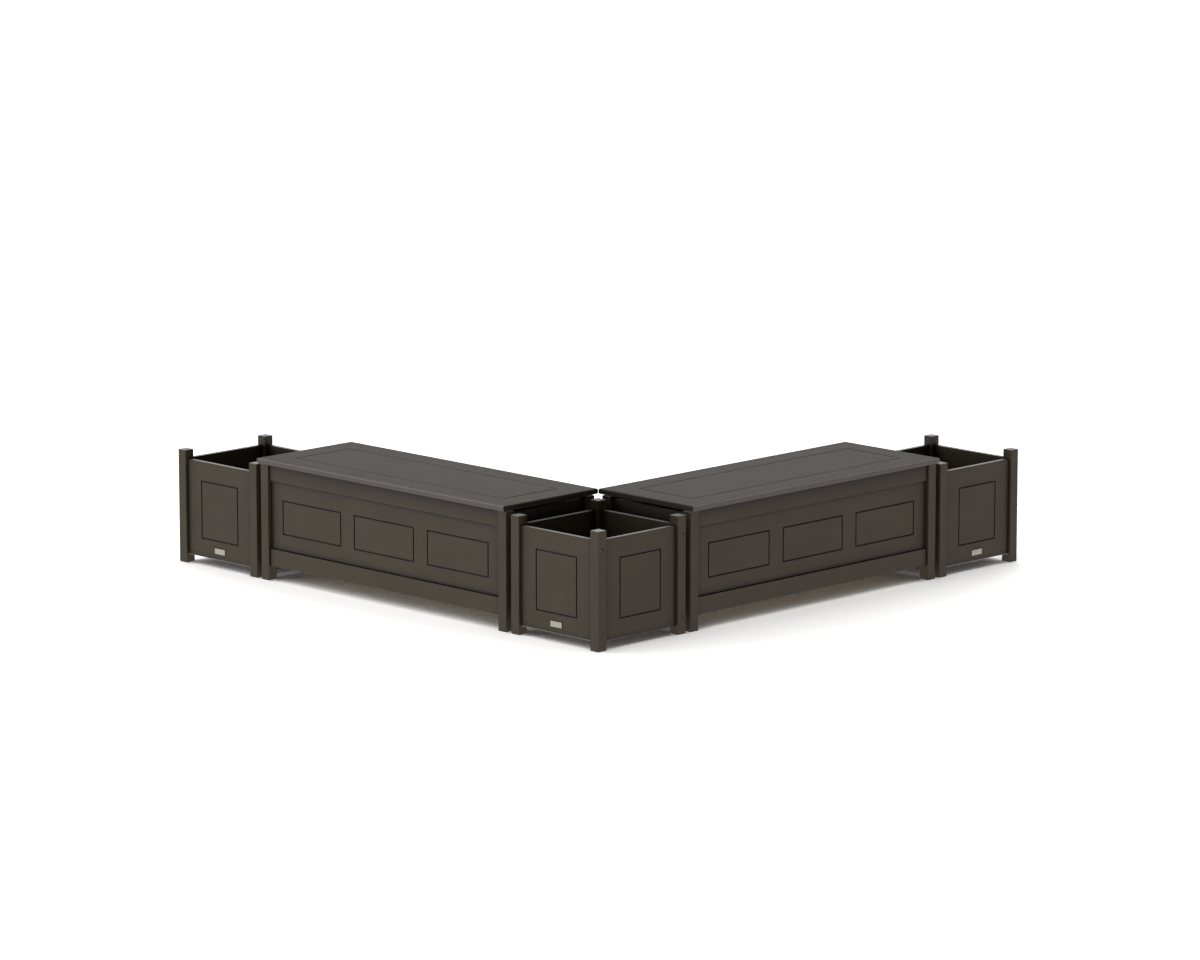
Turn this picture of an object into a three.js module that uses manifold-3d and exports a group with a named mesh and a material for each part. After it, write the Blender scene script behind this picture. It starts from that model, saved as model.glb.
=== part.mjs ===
// An outdoor corner set: two storage benches with hinged lids and three planter boxes, stood in an L.
// Millimetres, +Z up. The origin is on the ground, in the middle of the set's footprint.
// Each unit is built in a frame of its own, front face on y = 0 and left end on x = 0, then turned and placed.
// Low and high corners of a board are lists of x, y and z.

import * as THREE from "three";
import { mergeVertices } from "three/addons/utils/BufferGeometryUtils.js";
import Module from "manifold-3d";

const wasm = await Module();
wasm.setup();

// Stock and joints that all units share
const postSide = 38;
const postEdge = 1.5; // bevel round both ends of a post
const panelThickness = 16;
const panelInset = 9.5; // from the outer face of the posts to the face of a panel
const panelBottom = 32; // height of the lower edge of planter panels, bench ends and bench backs
const floorThickness = 12;
const housing = 6; // how deep a board is let into its neighbour
const fit = 0.3; // clearance between pieces that meet
const floorCornerGap = 0.8; // from the floor's notched corners to the posts
const overrun = 5; // how far a cutter runs past what it cuts
const roundSides = 24; // facets of a bolt pocket, a drain hole or a hinge pin

// Routed lines that frame a plain field on the boards
const grooveWidth = 4.5;
const grooveDepth = 4;

// Planter
const planterShortfall = 5; // how much less a planter's side is than the depth of a bench
const planterHeight = 413;
const planterPanelDrop = 33; // from the tops of the posts to the upper edge of the panels
const planterFieldSideMargin = 75; // from the posts to the routed line
const planterFieldLowMargin = 69;
const planterFieldHighMargin = 71;
const planterFloorRise = 12; // from the lower edge of the panels to the floor
const drainRadius = 6;
const drainPlaceShares = [[0.5, 0.5], [0.25, 0.25], [0.75, 0.25], [0.25, 0.75], [0.75, 0.75]];

// Bolts that hold the front and back panels of a planter through the sides of its posts
const boltPocketRadius = 6.5;
const boltPocketDepth = 4;
const boltFromPanelTop = 34;
const boltFromPanelBottom = 28;

// Blank plate on the front of each planter
const plaqueWidth = 54;
const plaqueHeight = 20;
const plaqueThickness = 1.6;
const plaqueCorner = 2.5;
const plaqueRise = 31.5; // from the lower edge of the panel to the plate's centre
const plaqueCornerSegments = 4;

// Bench
const benchLength = 1248;
const benchDepth = 424;
const benchPostExtra = 5.5; // how much taller the posts are than a planter's
const benchPanelDrop = 7.5; // from the tops of the posts to the upper edge of the end and back panels
const railThickness = 19;
const railInset = 6.5;
const frontPanelInset = 13.5;
const bottomRailLow = 54;
const bottomRailHeight = 62;
const topRailHeight = 59;
const benchFieldCount = 3;
const benchFieldSideMargin = 64;
const benchFieldSpacing = 71;
const benchFieldLowMargin = 60;
const benchFieldHighMargin = 66;
const benchEndFieldMargin = 75;
const benchFloorRise = 16; // from the lower edge of the bottom rail to the floor

// Lid
const lidThickness = 19;
const lidGap = 2.5; // from the tops of the bench posts to the lid
const lidFrontOverhang = 14.5;
const lidEndOverhang = 3;
const lidEdge = 3; // bevel round the lid
const lidFieldMargin = 100;

// Hinge: a bracket on the back panel with a stub pin that turns in the lid, near its upper back edge
const pivotInset = 6; // from the back edge of the lid to the pin's axis
const pivotDepth = 5.5; // from the upper face of the lid to the pin's axis
const swingClearance = 0.3; // between a lid in mid swing and the end of the other arm's lid
const hingeFromPost = 36; // from the inner side of a back post to the bracket's ear
const earThickness = 4;
const earRadius = 3.4;
const earBottomDrop = 49.5; // from the pin's axis to the ear's lower end
const pinRadius = 2.5;
const pinLength = 24;
const flangeWidth = 42;
const flangeHeight = 52;
const flangeThickness = 3;
const flangeTopDrop = 27.5; // from the pin's axis to the flange's upper edge
const screwHoleRadius = 2.2;
const screwHoleMargin = 10; // from the flange's edges to its screw holes
const notchSlack = 1.5; // what the lid's notch leaves beside a bracket slid fully inwards

// The set
const unitGap = 24;

// Sizes, heights and places that follow
const planterSide = benchDepth - planterShortfall;
const planterPanelTop = planterHeight - planterPanelDrop;
const benchPostHeight = planterHeight + benchPostExtra;
const benchEndTop = benchPostHeight - benchPanelDrop;
const lidUnderside = benchPostHeight + lidGap;
const lidTop = lidUnderside + lidThickness;
const topRailTop = lidUnderside - fit;
const topRailLow = topRailTop - topRailHeight;
const bottomRailTop = bottomRailLow + bottomRailHeight;
const benchFieldLow = bottomRailTop + benchFieldLowMargin;
const benchFieldHigh = topRailLow - benchFieldHighMargin;
const backFaceY = benchDepth - panelInset; // outer face of the bench's back panel
const benchStart = planterSide + unitGap;
const endPlanterStart = benchStart + benchLength + unitGap;
const setLength = endPlanterStart + planterSide;

// The lids all but meet at the set's inner corner. While a lid swings, the bevel on its upper back edge reaches
// furthest back, and the pin stands so far forward that this still clears the end of the other arm's lid.
const lidSwing = Math.max(
  Math.hypot(pivotInset - lidEdge, pivotDepth),
  Math.hypot(pivotInset, pivotDepth - lidEdge),
);
const pivotY = benchStart - lidEndOverhang - swingClearance - lidSwing;
const pivotZ = lidTop - pivotDepth;
const lidBack = pivotY + pivotInset;

// A closed box between two corners
function block(low, high) {
  const size = high.map((h, i) => h - low[i]);
  const middle = high.map((h, i) => (h + low[i]) / 2);
  return new THREE.BoxGeometry(...size).translate(...middle);
}

// A board as its two corners, and the same board made larger all round
const board = (low, high) => ({ low, high });
const grown = (b, by) => block(b.low.map((v) => v - by), b.high.map((v) => v + by));
const solidBoard = (b) => block(b.low, b.high);

// A box whose upper and lower edges are bevelled
function easedBlock({ low, high }, edge) {
  const plan = new THREE.Shape();
  plan.moveTo(low[0], low[1]);
  plan.lineTo(high[0], low[1]);
  plan.lineTo(high[0], high[1]);
  plan.lineTo(low[0], high[1]);
  plan.closePath();
  return new THREE.ExtrudeGeometry(plan, {
    depth: high[2] - low[2] - 2 * edge,
    bevelThickness: edge,
    bevelSize: edge,
    bevelOffset: -edge,
    bevelSegments: 1,
  }).translate(0, 0, low[2] + edge);
}

// Booleans
function solid(geometry) {
  const bare = new THREE.BufferGeometry();
  bare.setAttribute("position", geometry.getAttribute("position"));
  bare.setIndex(geometry.index);
  const merged = mergeVertices(bare);
  return new wasm.Manifold(
    new wasm.Mesh({
      numProp: 3,
      vertProperties: merged.getAttribute("position").array,
      triVerts: new Uint32Array(merged.index.array),
    }),
  );
}

function surface(manifold) {
  const mesh = manifold.getMesh();
  return new THREE.BufferGeometry()
    .setAttribute("position", new THREE.BufferAttribute(mesh.vertProperties, mesh.numProp))
    .setIndex(new THREE.BufferAttribute(mesh.triVerts, 1));
}

function cut(geometry, cutters) {
  return surface(cutters.reduce((left, cutter) => left.subtract(solid(cutter)), solid(geometry)));
}

function join(geometries) {
  return surface(geometries.map(solid).reduce((whole, next) => whole.add(next)));
}

// A cylinder along an axis ("x", "y" or "z") between two places on that axis
function rod(axis, from, to, radius, centre) {
  const cylinder = new THREE.CylinderGeometry(radius, radius, to - from, roundSides);
  if (axis === "x") cylinder.rotateZ(Math.PI / 2);
  if (axis === "z") cylinder.rotateX(Math.PI / 2);
  const middle = { x: centre.x, y: centre.y, z: centre.z, [axis]: (from + to) / 2 };
  return cylinder.translate(middle.x, middle.y, middle.z);
}

// The routed line round a field, as a closed frame: the rectangle is the line's middle
function groovePlan(low, high) {
  const half = grooveWidth / 2;
  const plan = new THREE.Shape();
  plan.moveTo(low[0] - half, low[1] - half);
  plan.lineTo(high[0] + half, low[1] - half);
  plan.lineTo(high[0] + half, high[1] + half);
  plan.lineTo(low[0] - half, high[1] + half);
  plan.closePath();
  const field = new THREE.Path();
  field.moveTo(low[0] + half, low[1] + half);
  field.lineTo(low[0] + half, high[1] - half);
  field.lineTo(high[0] - half, high[1] - half);
  field.lineTo(high[0] - half, low[1] + half);
  field.closePath();
  plan.holes.push(field);
  return new THREE.ExtrudeGeometry(plan, { depth: grooveDepth + overrun, bevelEnabled: false });
}

// The cutter for a field on an upright face at y = face that looks towards -y, from x, z corner to corner
const uprightGroove = (face, low, high) =>
  groovePlan(low, high).rotateX(Math.PI / 2).translate(0, face + grooveDepth, 0);

// The same on a level face at z = face that looks up, from x, y corner to corner
const levelGroove = (face, low, high) => groovePlan(low, high).translate(0, 0, face - grooveDepth);

// Finishes
const finishes = {
  lumber: { color: 0x4a453e, roughness: 0.55, metalness: 0 },
  plate: { color: 0xc9c3b4, roughness: 0.4, metalness: 0.6 },
  steel: { color: 0x8d8f91, roughness: 0.35, metalness: 1 },
};

function mesh(name, geometry, finish = "lumber") {
  geometry.computeVertexNormals();
  const piece = new THREE.Mesh(geometry, new THREE.MeshStandardMaterial(finishes[finish]));
  piece.name = name;
  return piece;
}

// A floor let into the boards round it, with its corners notched for the posts: two crossing boards
function floorBoards(length, depth, innerFaces, bottom) {
  const clear = postSide + floorCornerGap;
  const top = bottom + floorThickness;
  const reach = housing - fit;
  const { left, right, front, back } = innerFaces;
  const across = board([left - reach, clear, bottom], [right + reach, depth - clear, top]);
  const along = board([clear, front - reach, bottom], [length - clear, back + reach, top]);
  return [across, along];
}

// Planter
const quarterNames = ["front", "right", "back", "left"];
const cornerNames = ["front_left", "front_right", "back_right", "back_left"];

const planterPanel = board(
  [postSide - housing + fit, panelInset, panelBottom],
  [planterSide - postSide + housing - fit, panelInset + panelThickness, planterPanelTop],
);
const planterPanelSideways = board(
  [planterPanel.low[1], planterPanel.low[0], planterPanel.low[2]],
  [planterPanel.high[1], planterPanel.high[0], planterPanel.high[2]],
);
const planterFloor = floorBoards(
  planterSide,
  planterSide,
  {
    left: planterPanel.high[1],
    right: planterSide - planterPanel.high[1],
    front: planterPanel.high[1],
    back: planterSide - planterPanel.high[1],
  },
  panelBottom + planterFloorRise,
);

// The front left post: its bolt pockets are on its left side, or on its front for the posts it becomes a
// quarter turn on, so that they end up on the planter's left and right sides
function planterPost(pocketsOnFront) {
  const post = easedBlock(board([0, 0, 0], [postSide, postSide, planterHeight]), postEdge);
  const middle = panelInset + panelThickness / 2;
  const heights = [panelBottom + boltFromPanelBottom, planterPanelTop - boltFromPanelTop];
  const pockets = heights.map((z) =>
    pocketsOnFront
      ? rod("y", -overrun, boltPocketDepth, boltPocketRadius, { x: middle, z })
      : rod("x", -overrun, boltPocketDepth, boltPocketRadius, { y: middle, z }),
  );
  return cut(post, [grown(planterPanel, fit), grown(planterPanelSideways, fit), ...pockets]);
}

function planterPanelGeometry() {
  const low = [postSide + planterFieldSideMargin, panelBottom + planterFieldLowMargin];
  const high = [planterSide - low[0], planterPanelTop - planterFieldHighMargin];
  const floorGrooves = planterFloor.map((b) => grown(b, fit));
  return cut(solidBoard(planterPanel), [uprightGroove(panelInset, low, high), ...floorGrooves]);
}

function planterFloorGeometry() {
  const { low, high } = planterFloor[0];
  const drains = drainPlaceShares.map(([across, back]) =>
    rod("z", low[2] - overrun, high[2] + overrun, drainRadius, {
      x: low[0] + across * (high[0] - low[0]),
      y: low[0] + back * (high[0] - low[0]),
    }),
  );
  return cut(join(planterFloor.map(solidBoard)), drains);
}

function plaqueGeometry() {
  const x = plaqueWidth / 2 - plaqueCorner;
  const y = plaqueHeight / 2 - plaqueCorner;
  const plan = new THREE.Shape();
  plan.absarc(x, y, plaqueCorner, 0, Math.PI / 2);
  plan.absarc(-x, y, plaqueCorner, Math.PI / 2, Math.PI);
  plan.absarc(-x, -y, plaqueCorner, Math.PI, 1.5 * Math.PI);
  plan.absarc(x, -y, plaqueCorner, 1.5 * Math.PI, 2 * Math.PI);
  const flat = { depth: plaqueThickness, bevelEnabled: false, curveSegments: plaqueCornerSegments };
  return new THREE.ExtrudeGeometry(plan, flat)
    .rotateX(Math.PI / 2)
    .translate(planterSide / 2, panelInset - fit, panelBottom + plaqueRise);
}

function planter(name) {
  const unit = new THREE.Group();
  quarterNames.forEach((side, quarter) => {
    const turned = new THREE.Group();
    const post = mesh(`${name}_${cornerNames[quarter]}_post`, planterPost(quarter % 2 === 1));
    const panel = mesh(`${name}_${side}_panel`, planterPanelGeometry());
    for (const piece of [post, panel]) piece.position.set(-planterSide / 2, -planterSide / 2, 0);
    turned.add(post, panel);
    turned.rotation.z = (quarter * Math.PI) / 2;
    turned.position.set(planterSide / 2, planterSide / 2, 0);
    unit.add(turned);
  });
  unit.add(mesh(`${name}_floor`, planterFloorGeometry()));
  unit.add(mesh(`${name}_plaque`, plaqueGeometry(), "plate"));
  return unit;
}

// Bench
const betweenPosts = [postSide - housing + fit, benchLength - postSide + housing - fit];
const betweenPostsDeep = [postSide - housing + fit, benchDepth - postSide + housing - fit];

const lengthways = (face, thickness, low, high) =>
  board([betweenPosts[0], face, low], [betweenPosts[1], face + thickness, high]);

const endways = (face) =>
  board([face, betweenPostsDeep[0], panelBottom], [face + panelThickness, betweenPostsDeep[1], benchEndTop]);

const benchBoards = {
  front_top_rail: lengthways(railInset, railThickness, topRailLow, topRailTop),
  front_panel: lengthways(frontPanelInset, panelThickness, bottomRailTop + fit, topRailLow - fit),
  front_bottom_rail: lengthways(railInset, railThickness, bottomRailLow, bottomRailTop),
  back_panel: lengthways(backFaceY - panelThickness, panelThickness, panelBottom, benchEndTop),
  left_end_panel: endways(panelInset),
  right_end_panel: endways(benchLength - panelInset - panelThickness),
};

const benchFloor = floorBoards(
  benchLength,
  benchDepth,
  {
    left: benchBoards.left_end_panel.high[0],
    right: benchBoards.right_end_panel.low[0],
    front: benchBoards.front_bottom_rail.high[1],
    back: benchBoards.back_panel.low[1],
  },
  bottomRailLow + benchFloorRise,
);

function frontFields() {
  const start = postSide + benchFieldSideMargin;
  const spaces = (benchFieldCount - 1) * benchFieldSpacing;
  const width = (benchLength - 2 * start - spaces) / benchFieldCount;
  return Array.from({ length: benchFieldCount }, (_, i) => {
    const left = start + i * (width + benchFieldSpacing);
    return uprightGroove(frontPanelInset, [left, benchFieldLow], [left + width, benchFieldHigh]);
  });
}

// One field on a bench end, routed on the left end's outer face or on the right end's
function endField(onRight) {
  const start = postSide + benchEndFieldMargin;
  const low = [start - benchDepth / 2, benchFieldLow];
  const high = [benchDepth / 2 - start, benchFieldHigh];
  const turn = onRight ? Math.PI / 2 : -Math.PI / 2;
  const place = onRight ? benchLength : 0;
  return uprightGroove(panelInset, low, high).rotateZ(turn).translate(place, benchDepth / 2, 0);
}

function benchBoardGeometry(name) {
  const fields = {
    front_panel: frontFields(),
    left_end_panel: [endField(false)],
    right_end_panel: [endField(true)],
  };
  const floorGrooves = benchFloor.map((b) => grown(b, fit));
  return cut(solidBoard(benchBoards[name]), [...(fields[name] ?? []), ...floorGrooves]);
}

function benchPost(atRight, atBack) {
  const x = atRight ? benchLength - postSide : 0;
  const y = atBack ? benchDepth - postSide : 0;
  const corners = board([x, y, 0], [x + postSide, y + postSide, benchPostHeight]);
  return cut(easedBlock(corners, postEdge), Object.values(benchBoards).map((b) => grown(b, fit)));
}

// Where each bracket's ear stands along the bench, and which way its pin points
const hinges = {
  left: { ear: postSide + hingeFromPost, outward: -1 },
  right: { ear: benchLength - postSide - hingeFromPost, outward: 1 },
};

// From a place on the ear's outer face, a stretch along the bench that starts so far outwards and goes inwards
const stretch = ({ ear, outward }, from, inwards) =>
  [ear + outward * from, ear + outward * (from - inwards)].sort((a, b) => a - b);

function hingeGeometry(hinge) {
  const mountFace = backFaceY + fit;
  const ear = stretch(hinge, 0, earThickness);
  const profile = new THREE.Shape();
  profile.moveTo(mountFace, pivotZ - earBottomDrop);
  profile.lineTo(mountFace + flangeThickness, pivotZ - earBottomDrop);
  profile.lineTo(pivotY + earRadius, pivotZ - flangeTopDrop);
  profile.absarc(pivotY, pivotZ, earRadius, 0, Math.PI);
  profile.lineTo(pivotY - earRadius, benchPostHeight);
  profile.lineTo(mountFace, pivotZ - flangeTopDrop);
  profile.closePath();
  const plate = new THREE.ExtrudeGeometry(profile, {
    depth: earThickness,
    bevelEnabled: false,
    curveSegments: Math.ceil(roundSides / 2),
  });
  // The profile's x and y become y and z, and its depth runs along x
  plate.applyMatrix4(new THREE.Matrix4().makeBasis(
    new THREE.Vector3(0, 1, 0),
    new THREE.Vector3(0, 0, 1),
    new THREE.Vector3(1, 0, 0),
  ));
  plate.translate(ear[0], 0, 0);
  const flangeTop = pivotZ - flangeTopDrop;
  const flangeX = stretch(hinge, (flangeWidth - earThickness) / 2, flangeWidth);
  const flange = block(
    [flangeX[0], mountFace, flangeTop - flangeHeight],
    [flangeX[1], mountFace + flangeThickness, flangeTop],
  );
  const pinX = stretch(hinge, pinLength, pinLength + earThickness / 2);
  const pin = rod("x", pinX[0], pinX[1], pinRadius, { y: pivotY, z: pivotZ });
  const holes = [flangeX[0] + screwHoleMargin, flangeX[1] - screwHoleMargin].flatMap((x) =>
    [flangeTop - screwHoleMargin, flangeTop - flangeHeight + screwHoleMargin].map((z) =>
      rod("y", mountFace - overrun, mountFace + flangeThickness + overrun, screwHoleRadius, { x, z }),
    ),
  );
  return cut(join([plate, flange, pin]), holes);
}

// The lid's notch for a bracket is open at the back edge and below, long enough to slide the pin into its bore
function lidCutsFor(hinge) {
  const notchX = stretch(hinge, fit, fit + earThickness + pinLength + notchSlack);
  const notch = block(
    [notchX[0], pivotY - earRadius - fit, lidUnderside - overrun],
    [notchX[1], lidBack + overrun, pivotZ + earRadius + fit],
  );
  const boreX = stretch(hinge, pinLength + fit, pinLength + earThickness);
  const bore = rod("x", boreX[0], boreX[1], pinRadius + fit, { y: pivotY, z: pivotZ });
  return [notch, bore];
}

function lidGeometry() {
  const corners = board(
    [-lidEndOverhang, -lidFrontOverhang, lidUnderside],
    [benchLength + lidEndOverhang, lidBack, lidTop],
  );
  const low = corners.low.slice(0, 2).map((v) => v + lidFieldMargin);
  const high = corners.high.slice(0, 2).map((v) => v - lidFieldMargin);
  const cutters = [levelGroove(lidTop, low, high), ...Object.values(hinges).flatMap(lidCutsFor)];
  return cut(easedBlock(corners, lidEdge), cutters);
}

function bench(name) {
  const unit = new THREE.Group();
  cornerNames.forEach((corner) => {
    const atRight = corner.endsWith("right");
    const atBack = corner.startsWith("back");
    unit.add(mesh(`${name}_${corner}_post`, benchPost(atRight, atBack)));
  });
  for (const boardName of Object.keys(benchBoards)) {
    unit.add(mesh(`${name}_${boardName}`, benchBoardGeometry(boardName)));
  }
  unit.add(mesh(`${name}_floor`, join(benchFloor.map(solidBoard))));
  unit.add(mesh(`${name}_lid`, lidGeometry()));
  for (const [side, hinge] of Object.entries(hinges)) {
    unit.add(mesh(`${name}_${side}_hinge`, hingeGeometry(hinge), "steel"));
  }
  return unit;
}

// A unit's place in the set: along the right arm as it was built, or turned to stand along the left arm
function onRightArm(unit, start) {
  unit.position.set(start, 0, 0);
  return unit;
}

function onLeftArm(unit, start, length) {
  unit.rotation.z = -Math.PI / 2;
  unit.position.set(0, start + length, 0);
  return unit;
}

const set = new THREE.Group();
set.add(onLeftArm(planter("corner_planter"), 0, planterSide));
set.add(onLeftArm(bench("left_bench"), benchStart, benchLength));
set.add(onLeftArm(planter("left_planter"), endPlanterStart, planterSide));
set.add(onRightArm(bench("right_bench"), benchStart));
set.add(onRightArm(planter("right_planter"), endPlanterStart));

// The lids' front edges are the set's outermost faces on its two front sides
const footprintMiddle = (setLength - lidFrontOverhang) / 2;
set.position.set(-footprintMiddle, -footprintMiddle, 0);

export default set;
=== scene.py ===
# %% [markdown]
# An outdoor corner set: two storage benches with lift-up lids and three square planter boxes, stood in an
# L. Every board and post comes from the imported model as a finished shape, so this lesson is about what
# turns exact shapes into a believable object: soft light, eased edges, a streaked plastic lumber, and the
# small metal parts. The model is in metres, +Z up, with the origin on the ground in the middle of the set.

# %% Load the model
import math

import bmesh
import bpy
from mathutils import Matrix, Vector


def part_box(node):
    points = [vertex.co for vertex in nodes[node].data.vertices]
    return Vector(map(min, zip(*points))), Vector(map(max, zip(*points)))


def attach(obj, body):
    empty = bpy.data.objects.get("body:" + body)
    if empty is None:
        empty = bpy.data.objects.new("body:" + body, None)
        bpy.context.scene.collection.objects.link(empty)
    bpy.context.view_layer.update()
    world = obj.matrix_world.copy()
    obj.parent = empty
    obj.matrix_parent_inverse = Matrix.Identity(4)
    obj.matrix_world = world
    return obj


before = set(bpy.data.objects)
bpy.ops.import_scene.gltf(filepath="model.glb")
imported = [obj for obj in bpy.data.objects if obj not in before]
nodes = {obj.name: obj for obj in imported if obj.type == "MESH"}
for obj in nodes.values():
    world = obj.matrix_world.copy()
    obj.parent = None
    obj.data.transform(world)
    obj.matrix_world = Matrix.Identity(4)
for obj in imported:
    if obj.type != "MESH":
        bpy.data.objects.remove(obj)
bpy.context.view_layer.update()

# %% [markdown]
# The camera. The photograph looks at the corner planter along the set's diagonal, from a little above,
# through a long lens, which keeps upright edges nearly parallel. The distance and the lens were worked out
# from where the posts' feet and the lids' corners appear, so they are written here as numbers rather than
# tried by eye.

# %% Camera
SENSOR_WIDTH = 36  # millimetres
LENS_IN_IMAGE_WIDTHS = 4.7605
CAMERA_DISTANCE = 18.671  # level distance from the nearest foot, along the diagonal
CAMERA_HEIGHT = 4.189
CAMERA_DIP = math.radians(10.912)
IMAGE_SHIFT = 0.0014  # the set stands this share of the width left of the middle
FARTHEST_SEEN = 200

nearest_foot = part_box("corner_planter_front_right_post")[0]
diagonal = Vector((1, 1, 0)).normalized()
eye = nearest_foot - diagonal * CAMERA_DISTANCE
eye.z = CAMERA_HEIGHT
gaze = diagonal * math.cos(CAMERA_DIP) - Vector((0, 0, math.sin(CAMERA_DIP)))

lens = bpy.data.cameras.new("camera")
lens.sensor_width = SENSOR_WIDTH
lens.lens = SENSOR_WIDTH * LENS_IN_IMAGE_WIDTHS
lens.shift_x = IMAGE_SHIFT
lens.clip_end = FARTHEST_SEEN
camera = bpy.data.objects.new("camera", lens)
camera.location = eye
camera.rotation_euler = gaze.to_track_quat("-Z", "Y").to_euler()
bpy.context.scene.collection.objects.link(camera)
bpy.context.scene.camera = camera
bpy.context.scene.view_settings.view_transform = "Standard"
print("camera at", [round(v, 3) for v in eye], "lens", round(lens.lens, 1), "mm")

# %% [markdown]
# Node materials are built the same way many times: make a node, set its sockets, link it to the next. It
# could be written out each time, but a few small helpers keep it readable. A socket's value can be a number
# or colour, or another node's output to link from.

# %% Helpers for node trees
def add_node(tree, kind, sockets=None, **settings):
    node = tree.nodes.new(kind)
    for name, value in settings.items():
        setattr(node, name, value)
    for name, value in (sockets or {}).items():
        if isinstance(value, bpy.types.NodeSocket):
            tree.links.new(value, node.inputs[name])
        else:
            node.inputs[name].default_value = value
    return node


def new_material(name):
    material = bpy.data.materials.new(name)
    material.use_nodes = True
    material.node_tree.nodes.clear()
    return material, material.node_tree


def use_surface(tree, shader):
    output = add_node(tree, "ShaderNodeOutputMaterial")
    tree.links.new(shader.outputs[0], output.inputs["Surface"])


# %% [markdown]
# Most nodes here do one of four small jobs: a sum, a blend of two numbers, a blend of two colours, or a
# ramp that turns a range of one value into a share from 0 to 1. Naming those jobs says more than the names
# of the nodes.

# %% Sums, blends and ramps
def calculate(tree, operation, *values):
    return add_node(tree, "ShaderNodeMath", dict(enumerate(values)), operation=operation).outputs[0]


def blend(tree, share, first, second):
    return add_node(tree, "ShaderNodeMix", {0: share, 2: first, 3: second}).outputs[0]


def blend_colours(tree, share, first, second):
    mix = add_node(tree, "ShaderNodeMix", {"Factor": share, 6: first, 7: second}, data_type="RGBA")
    return mix.outputs[2]


def ramp(tree, value, start, end):
    return add_node(tree, "ShaderNodeMapRange", {
        "Value": value,
        "From Min": start,
        "From Max": end,
    }).outputs[0]


# %% [markdown]
# The light is a white studio with a dark ceiling. A plain white world would do for the backdrop, but it
# would also shine into the open boxes from above. So the white is shown only to the camera and in gloss or
# glass, it falls off overhead, and the world itself gives just a little light.

# %% Backdrop and ceiling
DOME_LIGHT = 0.17
BACKDROP_TOP = 0.0  # how steep a line of sight is where the white starts to fade: 0 is level, 1 straight up
CEILING_START = 0.22  # and where it has gone

world = bpy.data.worlds.new("studio")
world.use_nodes = True
studio = world.node_tree
studio.nodes.clear()
path = add_node(studio, "ShaderNodeLightPath")
seen = calculate(studio, "MAXIMUM", path.outputs["Is Camera Ray"], path.outputs["Is Glossy Ray"])
seen = calculate(studio, "MAXIMUM", seen, path.outputs["Is Transmission Ray"])
sight = add_node(studio, "ShaderNodeTexCoord")
rise = add_node(studio, "ShaderNodeSeparateXYZ", {0: sight.outputs["Generated"]})
backdrop = add_node(studio, "ShaderNodeMapRange", {
    "Value": rise.outputs["Z"],
    "From Min": BACKDROP_TOP,
    "From Max": CEILING_START,
    "To Min": 1.0,
    "To Max": 0.0,
}, interpolation_type="SMOOTHSTEP")
white = add_node(studio, "ShaderNodeBackground", {
    "Color": (1, 1, 1, 1),
    "Strength": blend(studio, seen, DOME_LIGHT, backdrop.outputs[0]),
})
surround = add_node(studio, "ShaderNodeOutputWorld")
studio.links.new(white.outputs[0], surround.inputs["Surface"])
bpy.context.scene.world = world
print("dome", DOME_LIGHT)

# %% [markdown]
# Four broad suns do the rest: one overhead, one on the left, a low one from behind that lies along the lids
# as a sheen, and a low one from the far left, which makes the faces that look left a little paler than
# those that look right. Area lamps would be stronger near by than far off. Suns are equally strong
# everywhere, so the wide floor stays even. Each one's angle is how many degrees of the sky it fills, and a
# wide one makes a soft shadow.

# %% Lamps
LAMPS = {
    "overhead": {"energy": 0.62, "angle": 80, "from": (0.1, 0.1, 1)},
    "left": {"energy": 0.25, "angle": 30, "from": (-1, -0.1, 1)},
    "low_far_left": {"energy": 1.2, "angle": 60, "from": (-1, 1, 0.15)},
    "low_behind": {"energy": 0.92, "angle": 60, "from": (1, 1, 0.35)},
}

for name, lamp in LAMPS.items():
    light = bpy.data.lights.new(name, "SUN")
    light.energy = lamp["energy"]
    light.angle = math.radians(lamp["angle"])
    sun = bpy.data.objects.new(name, light)
    sun.rotation_euler = Vector(lamp["from"]).to_track_quat("Z", "Y").to_euler()
    bpy.context.scene.collection.objects.link(sun)
    print("lamp", name, lamp["energy"])

# %% [markdown]
# The floor is one wide sheet, a light table of the kind small goods are photographed on. It glows, which
# lights the boards from below and brightens their lower edges. The camera sees it as white paper instead,
# so that the shadow under the set stays. The glow also comes back from the boards and washes out the
# darkest shadow, the one right under the boxes, so a painted shadow makes the paper darker where
# something stands close over it.

# %% Floor paper
FLOOR_BOUNCE = 0.8
FLOOR_GLOW = 0.95
FLOOR_SEEN = 2.62
CONTACT_REACH = 0.2  # how near something has to be to darken the floor
CONTACT_CLOSED = 0.15  # the share of open sky at which the floor is as dark as it gets
CONTACT_OPEN = 0.42  # and at which it isn't darkened any more
# how dark the painted shadow makes the paper right under the set
CONTACT_SHADOW_TONE = 0.47
NEARNESS_SAMPLES = 8

paper, tree = new_material("floor_paper")
to_camera = add_node(tree, "ShaderNodeLightPath").outputs["Is Camera Ray"]
# painted shadow: the paper seen by the camera darkens by how near something is over it
near = add_node(tree, "ShaderNodeAmbientOcclusion", {"Distance": CONTACT_REACH}, samples=NEARNESS_SAMPLES)
clear = ramp(tree, near.outputs["AO"], CONTACT_CLOSED, CONTACT_OPEN)
seen_paper = blend(tree, clear, FLOOR_SEEN * CONTACT_SHADOW_TONE, FLOOR_SEEN)
sheet_colour = blend(tree, to_camera, FLOOR_BOUNCE, seen_paper)
sheet_glow = blend(tree, to_camera, FLOOR_GLOW, 0.0)
matt = add_node(tree, "ShaderNodeBsdfDiffuse", {"Color": sheet_colour})
glow = add_node(tree, "ShaderNodeEmission", {"Strength": sheet_glow})
use_surface(tree, add_node(tree, "ShaderNodeAddShader", {0: matt.outputs[0], 1: glow.outputs[0]}))
print("floor seen at", FLOOR_SEEN)

# %% [markdown]
# The sheet itself is a square so wide that its edge is never seen. Blender has a ready-made plane, but four
# corners written as numbers show how any mesh starts, and put the sheet where it has to be.

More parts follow.
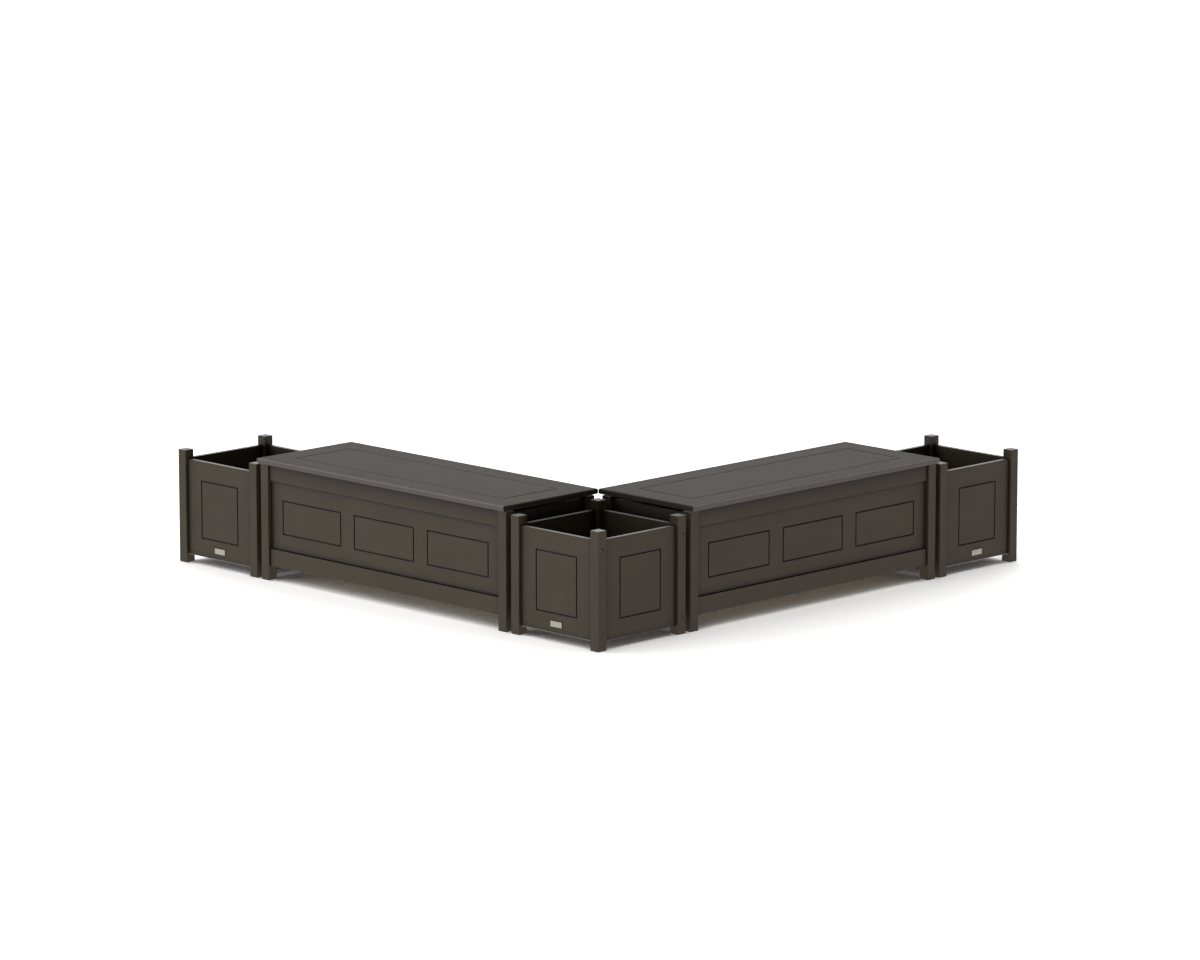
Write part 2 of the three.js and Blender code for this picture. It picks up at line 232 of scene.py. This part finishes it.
# %% Floor
FLOOR_REACH = 90
FLOOR_DROP = 0.0003  # under the posts' feet, so that the two faces don't flicker

around = (-1, -1), (1, -1), (1, 1), (-1, 1)
corners = [(x * FLOOR_REACH, y * FLOOR_REACH, -FLOOR_DROP) for x, y in around]
sheet = bpy.data.meshes.new("floor")
sheet.from_pydata(corners, [], [range(4)])
sheet.materials.append(paper)
floor = bpy.data.objects.new("floor", sheet)
bpy.context.scene.collection.objects.link(floor)
print("floor", 2 * FLOOR_REACH, "m wide")

# %% [markdown]
# Plastic lumber is pressed through a die, which leaves fine streaks along each board and a satin skin. The
# streaks could be drawn from a picture, but noise stretched along the board does it at any distance. The
# pattern lives in the model's own space, moved by a random step per board so that it doesn't run on across
# a joint. The lids have paler tones of their own.

# %% Streaked skin
LUMBER_TONES = (0.029, 0.0185, 0.0092, 1), (0.050, 0.035, 0.0185, 1)
LID_TONES = (0.040, 0.0265, 0.013, 1), (0.069, 0.048, 0.025, 1)
STREAK_FINE = 420  # per metre, across the board
STREAK_BROAD = 60
STREAK_LENGTH = 5  # per metre, along the board
STREAK_ROUGHNESS = 0.6  # how strong the finer parts of the noise are
FINE_SHARE = 0.45
CLOUDS = 6.0  # per metre
CLOUD_SHARE = 0.35
TONE_RANGE = 0.3, 0.7  # the part of the noise that is spread between the two tones
LARGEST_STEP = (17.0, 31.0, 47.0)  # metres, so that no two boards show the same streaks


def streaks(tree, place, along, across, detail):
    scale = [across] * 3
    scale["xyz".index(along)] = STREAK_LENGTH
    stretched = add_node(tree, "ShaderNodeMapping", {"Vector": place, "Scale": scale})
    return add_node(tree, "ShaderNodeTexNoise", {
        "Vector": stretched.outputs[0],
        "Scale": 1.0,
        "Detail": detail,
        "Roughness": STREAK_ROUGHNESS,
    }).outputs["Fac"]


def streaked_skin(tree, place, along, tones):
    """Returns the streaks, which later drive the gloss too, and the colour."""
    board = add_node(tree, "ShaderNodeObjectInfo")
    step = add_node(tree, "ShaderNodeVectorMath", {
        0: LARGEST_STEP,
        "Scale": board.outputs["Random"],
    }, operation="SCALE")
    moved = add_node(tree, "ShaderNodeVectorMath", {
        0: place.outputs["Object"],
        1: step.outputs[0],
    }, operation="ADD").outputs[0]
    broad = streaks(tree, moved, along, STREAK_BROAD, 3)
    fine = streaks(tree, moved, along, STREAK_FINE, 2)
    both = blend(tree, FINE_SHARE, broad, fine)
    clouds = add_node(tree, "ShaderNodeTexNoise", {"Vector": moved, "Scale": CLOUDS, "Detail": 2.0})
    mixed = blend(tree, CLOUD_SHARE, both, clouds.outputs["Fac"])
    return both, blend_colours(tree, ramp(tree, mixed, *TONE_RANGE), *tones)


print("streaks", STREAK_BROAD, "and", STREAK_FINE, "per metre")

# %% [markdown]
# The sawn edges of a board and the sawn ends of a post are paler and smoother than the broad faces, so the
# finish asks which way a face looks. On posts and upright boards these sawn faces are the tops and
# bottoms, and their much paler colour there is partly a painted highlight, for the light that falls on
# them from above. Vertex paint could say it too, but the way a face looks is known already, and it also
# holds for the narrow faces that the eased edges add.

# %% Which way a face looks
def looks_along(tree, normal, axis):
    """1 on a face that looks straight along the axis, either way, and less as it turns from it."""
    return calculate(tree, "ABSOLUTE", normal.outputs[axis.upper()])


# %% [markdown]
# The upper rims of a lid's long edges get a pale painted highlight, for the light that catches them. It
# could be painted by hand, but the rims are just the faces that look both up and aside, so their slant
# picks them out. The two ends of a lid are painted dark, a painted shade for the shade they stand in at
# the inner corner.

# %% Painted highlight and shade on the lids
# painted highlight on the lids' upper rims
LID_RIM_HIGHLIGHT = (0.235, 0.225, 0.205, 1)
RIM_HIGHLIGHT_SLANT = 0.25, 0.45  # how steeply a rim has to slant before it gets the painted highlight
# painted shade on the lids' ends
LID_END_SHADE = (0.013, 0.009, 0.005, 1)
END_ON = 0.75, 0.95  # how squarely a face has to look along the lid to count as its end


def lid_rim_highlight_and_end_shade(tree, normal, along, edge_look, colour):
    slant = calculate(tree, "MULTIPLY", normal.outputs["Z"], edge_look)
    colour = blend_colours(tree, ramp(tree, slant, *RIM_HIGHLIGHT_SLANT), colour, LID_RIM_HIGHLIGHT)
    end_look = looks_along(tree, normal, along)
    return blend_colours(tree, ramp(tree, end_look, *END_ON), colour, LID_END_SHADE)


# the lids' rims get this painted highlight
print("rims worn to", LID_RIM_HIGHLIGHT[:3])

# %% [markdown]
# Routed lines, seams and the strip under a lid are dark, because little light gets in. The lamps alone
# leave them too pale, since the floor glows into them. So the finish paints shade into them, by how much
# open sky is within a few centimetres of a face. A post asks only about itself, or its foot would get
# painted shade beside the floor. The lids go without, because their one shallow line is hardly darker
# than they are.

# %% Painted shade in recesses
RECESS_REACH = 0.055  # how near something has to be to shade a face
RECESS_CLOSED = 0.79  # the share of open sky at which a face is as dark as it gets
# the colour of the painted shade, reached where a recess is closed
RECESS_SHADE_TONE = (0.006, 0.002, 0.001, 1)


def painted_recess_shade(tree, only_itself, colour):
    near = add_node(tree, "ShaderNodeAmbientOcclusion", {
        "Distance": RECESS_REACH,
    }, only_local=only_itself, samples=NEARNESS_SAMPLES)
    clear = ramp(tree, near.outputs["AO"], RECESS_CLOSED, 1.0)
    return blend_colours(tree, clear, RECESS_SHADE_TONE, colour)


print("recesses shaded within", RECESS_REACH, "m")

# %% [markdown]
# The planters' panels end low over the ground, and their bottom rim catches the light from the floor as a
# thin light line, which is painted here as a highlight. A strip of its own would be one more piece to keep
# in place, and the rim is there already: it is picked out by its height on the panel and by its slant, as
# it looks aside and down.

# %% Painted highlight on low rims
# painted highlight along the planter panels' bottom rims
LOW_RIM_HIGHLIGHT = (0.50, 0.48, 0.43, 1)
RIM_HEIGHT = 0.005  # as a share of the panel's height
RIM_SLANT = -0.6  # how far the rim looks down: 0 is level and -1 is straight down
RIM_SLANT_ROOM = 0.35


def painted_low_rim_highlight(tree, place, normal, colour):
    height = add_node(tree, "ShaderNodeSeparateXYZ", {0: place.outputs["Generated"]})
    lowest = calculate(tree, "LESS_THAN", height.outputs["Z"], RIM_HEIGHT)
    slanting = calculate(tree, "COMPARE", normal.outputs["Z"], RIM_SLANT, RIM_SLANT_ROOM)
    rim = calculate(tree, "MULTIPLY", lowest, slanting)
    return blend_colours(tree, rim, colour, LOW_RIM_HIGHLIGHT)


print("rims lightened in the lowest", RIM_HEIGHT, "of a panel")

# %% [markdown]
# The whole finish. One material could be copied and changed for each kind of board, but then every later
# change has to be made many times. Here one function lays the layers over each other: the pressed skin,
# the saw cuts and their painted highlight, then a painted highlight on the lids' rims and painted shade on
# their ends, or painted shade in the recesses of the rest, and last the painted highlight on the low rims
# of the planters' panels. The streaks also stand up a little and change the gloss.

# %% Plastic lumber
# sawn faces of posts and boards: a paler cut, and mostly a painted highlight on their tops
SAWN_PALE_AND_HIGHLIGHT = (0.310, 0.305, 0.275, 1)
LID_EDGE = (0.071, 0.057, 0.048, 1)
SAWN = 0.45, 0.65  # how squarely a face has to look along a sawn axis
SKIN_ROUGHNESS = 0.52, 0.68
SAWN_ROUGHNESS = 0.42
LUMBER_GLOSS = 0.385
PLASTIC_IOR = 1.46
STREAK_RELIEF = 0.0004
RELIEF_STRENGTH = 0.25


def lumber(name, kind, along, sawn_axis):
    """Streaks run along one axis, and the faces that look along sawn_axis are sawn."""
    material, tree = new_material(name)
    place = add_node(tree, "ShaderNodeTexCoord")
    normal = add_node(tree, "ShaderNodeSeparateXYZ", {0: place.outputs["Normal"]})
    is_lid = kind == "lid"
    relief, colour = streaked_skin(tree, place, along, LID_TONES if is_lid else LUMBER_TONES)
    edge_look = looks_along(tree, normal, sawn_axis)
    sawn = ramp(tree, edge_look, *SAWN)
    colour = blend_colours(tree, sawn, colour, LID_EDGE if is_lid else SAWN_PALE_AND_HIGHLIGHT)
    # lids get a painted rim highlight and painted end shade, the rest painted shade in recesses
    if is_lid:
        colour = lid_rim_highlight_and_end_shade(tree, normal, along, edge_look, colour)
    else:
        colour = painted_recess_shade(tree, along == "z", colour)
    if kind == "planter_panel":
        colour = painted_low_rim_highlight(tree, place, normal, colour)
    roughness = blend(tree, sawn, blend(tree, relief, *SKIN_ROUGHNESS), SAWN_ROUGHNESS)
    raised = add_node(tree, "ShaderNodeBump", {
        "Height": relief,
        "Strength": RELIEF_STRENGTH,
        "Distance": STREAK_RELIEF,
    })
    use_surface(tree, add_node(tree, "ShaderNodeBsdfPrincipled", {
        "Base Color": colour,
        "Roughness": roughness,
        "Normal": raised.outputs[0],
        "IOR": PLASTIC_IOR,
        "Specular IOR Level": LUMBER_GLOSS,
    }))
    return material


print("lumber gloss", LUMBER_GLOSS)

# %% [markdown]
# Boards are pressed lengthways, so the longest level side of a board tells which way its streaks run, and
# on a post they run upwards. The thinnest side tells a board's broad faces, and of the other two pairs of
# faces only its long edges are sawn: the ends keep the tone of the skin, apart from a lid's. Each board
# could be given its lumber by hand, but its size tells all that is needed. Boards that need the same finish
# share one material.

# %% Give every board its lumber
def longest_level_axis(size):
    return "x" if size.x > size.y else "y"


def lumber_for(name):
    low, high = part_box(name)
    size = high - low
    if name.endswith("post"):
        return "z", "z"
    along = longest_level_axis(size)
    thin = "xyz"[min(range(3), key=lambda i: size[i])]
    return along, "xyz".replace(thin, "").replace(along, "")


lumbers = {}
for name, node in nodes.items():
    if name.endswith(("plaque", "hinge")):
        continue
    kind = "lid" if name.endswith("lid") else "board"
    if "planter" in name and name.endswith("panel"):
        kind = "planter_panel"
    key = (kind, *lumber_for(name))
    if key not in lumbers:
        lumbers[key] = lumber("lumber_{}_along_{}_sawn_{}".format(*key), *key)
    node.data.materials.clear()
    node.data.materials.append(lumbers[key])
print(len(lumbers), "lumbers")

# %% [markdown]
# Metal. The hinge brackets and their screws are zinc-plated, and such plating dries in faint patches. The
# bolt heads are dark plated steel. The plate on each planter is brushed pale metal, left blank. Brush marks
# could be a finish of their own, but they are the same patches drawn out along the plate, so one function
# makes all three.

# %% Metals
BRUSH_STRETCH = 40  # how many times longer than wide a brush mark is


def metal(name, colour, roughness, patches_per_metre, patch_share, along=None):
    material, tree = new_material(name)
    place = add_node(tree, "ShaderNodeTexCoord")
    scale = [patches_per_metre] * 3
    if along:
        scale["xyz".index(along)] = patches_per_metre / BRUSH_STRETCH
    stretched = add_node(tree, "ShaderNodeMapping", {"Vector": place.outputs["Object"], "Scale": scale})
    patches = add_node(tree, "ShaderNodeTexNoise", {
        "Vector": stretched.outputs[0],
        "Scale": 1.0,
        "Detail": 4.0,
    }).outputs["Fac"]
    less, more = 1 - patch_share, 1 + patch_share
    darker = [part * less for part in colour] + [1]
    paler = [min(part * more, 1) for part in colour] + [1]
    use_surface(tree, add_node(tree, "ShaderNodeBsdfPrincipled", {
        "Base Color": blend_colours(tree, patches, darker, paler),
        "Roughness": blend(tree, patches, roughness * less, roughness * more),
        "Metallic": 1.0,
    }))
    return material


print("brush marks", BRUSH_STRETCH, "times as long as wide")

# %% [markdown]
# Zinc is pale, patchy and fairly dull. The dark plating on the bolts is smoother and its patches are
# smaller. The plates' brush marks have to run along each plate, so each plate has a material of its own.

# %% Give every metal piece its finish
zinc = metal(
    "zinc_plate",
    colour=(0.42, 0.43, 0.44),
    roughness=0.42,
    patches_per_metre=90,
    patch_share=0.2,
)
dark_steel = metal(
    "dark_plated_steel",
    colour=(0.10, 0.105, 0.105),
    roughness=0.35,
    patches_per_metre=300,
    patch_share=0.3,
)

for name, node in nodes.items():
    if name.endswith("hinge"):
        node.data.materials.clear()
        node.data.materials.append(zinc)
    if name.endswith("plaque"):
        low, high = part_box(name)
        along = longest_level_axis(high - low)
        brushed = metal(
            "brushed_plate_" + along,
            colour=(0.335, 0.322, 0.265),
            roughness=0.45,
            patches_per_metre=1500,
            patch_share=0.12,
            along=along,
        )
        node.data.materials.clear()
        node.data.materials.append(brushed)
print("metals on", sum(name.endswith(("hinge", "plaque")) for name in nodes), "pieces")

# %% [markdown]
# No real board has a knife edge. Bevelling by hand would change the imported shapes, so it is left to
# modifiers: two merge the triangles of each flat face, and the next rounds every sharp edge by about a
# millimetre at most. The rounded edges catch the light as thin bright lines, which is what makes the boards
# read as solid stock.

# %% Eased edges
EDGE = {"post": 0.0006, "lid": 0.0004, "panel": 0.0012, "plaque": 0.0003, "hinge": 0.0004}
OTHER_EDGE = 0.0008
SAME_POINT = 0.00001
SAME_FACE = math.radians(1)  # triangles that turn less than this from each other are one flat face
SHARP = math.radians(25)

for name, node in nodes.items():
    weld = node.modifiers.new("weld", "WELD")
    weld.merge_threshold = SAME_POINT
    flat = node.modifiers.new("merge_flat_faces", "DECIMATE")
    flat.decimate_type = "DISSOLVE"
    flat.angle_limit = SAME_FACE
    ease = node.modifiers.new("eased_edges", "BEVEL")
    ease.width = EDGE.get(name.rsplit("_", 1)[-1], OTHER_EDGE)
    ease.segments = 2
    ease.limit_method = "ANGLE"
    ease.angle_limit = SHARP
    ease.use_clamp_overlap = False
print("edges eased on", len(nodes), "pieces")

# %% [markdown]
# Bolt and screw heads are turned shapes with a recess. The recess could be cut out with a second shape, but
# that leaves ragged faces on so small a thing. A stack of rings makes it cleanly: each ring has the same
# number of points, so neighbours join into a band of quads, and a ring may be round, hexagonal or a cross.

# %% A turned head from rings
RING_POINTS = 24
CROSS_WAIST = 0.32  # the cross between its arms, as a share of its radius


def ring_radius(shape, radius, i):
    turn = 2 * math.pi * i / RING_POINTS
    if shape == "hexagon":
        return radius / math.cos((turn + math.pi / 6) % (math.pi / 3) - math.pi / 6)
    if shape == "cross":
        return radius if i % (RING_POINTS // 4) == 0 else radius * CROSS_WAIST
    return radius


def turned(name, rings, material):
    """rings: (shape, radius, height) from the underside, over the rim and down into the recess."""
    mesh = bmesh.new()
    loops = []
    for shape, radius, height in rings:
        loops.append([
            mesh.verts.new((
                ring_radius(shape, radius, i) * math.cos(2 * math.pi * i / RING_POINTS),
                ring_radius(shape, radius, i) * math.sin(2 * math.pi * i / RING_POINTS),
                height,
            ))
            for i in range(RING_POINTS)
        ])
    for lower, upper in zip(loops, loops[1:]):
        for i in range(RING_POINTS):
            j = (i + 1) % RING_POINTS
            mesh.faces.new((lower[i], lower[j], upper[j], upper[i]))
    mesh.faces.new(loops[0][::-1])
    mesh.faces.new(loops[-1])
    data = bpy.data.meshes.new(name)
    mesh.to_mesh(data)
    mesh.free()
    data.materials.append(material)
    return data


print("heads turned in", RING_POINTS, "steps")

# %% [markdown]
# A head is placed by one matrix, which turns its own +Z the way it looks out and then moves it to its spot.
# It could be joined to the post or bracket that it sits in, but as a piece of its own it keeps its name and
# its steel. Panels and brackets don't move, so every head rides on the root.

# %% Place a head
def place_head(name, head, spot, outward):
    piece = bpy.data.objects.new(name, head)
    turn = Vector(outward).to_track_quat("Z", "Y").to_matrix().to_4x4()
    piece.matrix_world = Matrix.Translation(spot) @ turn
    bpy.context.scene.collection.objects.link(piece)
    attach(piece, "root")


# %% [markdown]
# The planters' front and back panels are held by two bolts at each end, which sit in round pockets in the
# sides of the posts. Each head rests on its pocket's floor, 4 mm down. The places could be listed one by
# one. Here they are measured from the edges of the posts and panels, as the pockets are in the packed
# model.

# %% Panel bolts
BOLT_FROM_TOP = 0.034
BOLT_FROM_BOTTOM = 0.028
POCKET_DEPTH = 0.004

bolt_head = turned("bolt_head", [
    ("round", 0.0058, 0.0),
    ("round", 0.0058, 0.0014),
    ("round", 0.0055, 0.0022),
    ("round", 0.0047, 0.0030),
    ("round", 0.0038, 0.0034),
    ("hexagon", 0.0027, 0.0034),
    ("hexagon", 0.0025, 0.0032),
    ("hexagon", 0.0025, 0.0014),
], dark_steel)

bolts = 0
for planter in ("corner_planter", "left_planter", "right_planter"):
    posts = [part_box(f"{planter}_{corner}_post") for corner in ("front_left", "back_right")]
    for side in ("front", "back"):
        low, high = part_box(f"{planter}_{side}_panel")
        along = "xyz".index(longest_level_axis(high - low))
        for end in (min(box[0][along] for box in posts), max(box[1][along] for box in posts)):
            inward = 1 if end < low[along] else -1
            outward = Vector((0, 0, 0))
            outward[along] = -inward
            for height in (low.z + BOLT_FROM_BOTTOM, high.z - BOLT_FROM_TOP):
                spot = (low + high) / 2
                spot[along] = end + inward * POCKET_DEPTH
                spot.z = height
                bolts += 1
                place_head(f"{planter}_bolt_{bolts}", bolt_head, spot, outward)
print(bolts, "bolts")

# %% [markdown]
# Each hinge bracket is screwed to the back panel through four holes in its flange. The screws have domed
# heads with a cross recess, and a short shank that stands in the hole, as a real screw's does. The two
# brackets of a bench mirror each other, so the holes are counted from the inner side of each, because the
# pin sticks out on the other.

# %% Hinge screws
FLANGE_THICKNESS = 0.003
FLANGE_WIDTH = 0.042
FLANGE_HEIGHT = 0.052
SCREW_MARGIN = 0.010

screw_head = turned("screw_head", [
    ("round", 0.0019, -0.0031),
    ("round", 0.0019, 0.0),
    ("round", 0.0040, 0.0),
    ("round", 0.0040, 0.0006),
    ("round", 0.0034, 0.0014),
    ("round", 0.0024, 0.0019),
    ("cross", 0.0017, 0.0020),
    ("cross", 0.0012, 0.0008),
], zinc)

screws = 0
for bench in ("left_bench", "right_bench"):
    panel_low, panel_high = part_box(f"{bench}_back_panel")
    along = "xyz".index(longest_level_axis(panel_high - panel_low))
    back = 1 - along
    outward = Vector((0, 0, 0))
    outward[back] = 1
    for side in ("left", "right"):
        low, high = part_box(f"{bench}_{side}_hinge")
        far = low[along] > (panel_low[along] + panel_high[along]) / 2
        inner, step = (low[along], 1) if far else (high[along], -1)
        for over in (SCREW_MARGIN, FLANGE_WIDTH - SCREW_MARGIN):
            for up in (SCREW_MARGIN, FLANGE_HEIGHT - SCREW_MARGIN):
                spot = Vector((0, 0, low.z + up))
                spot[along] = inner + step * over
                spot[back] = low[back] + FLANGE_THICKNESS
                screws += 1
                place_head(f"{bench}_hinge_screw_{screws}", screw_head, spot, outward)
print(screws, "screws")
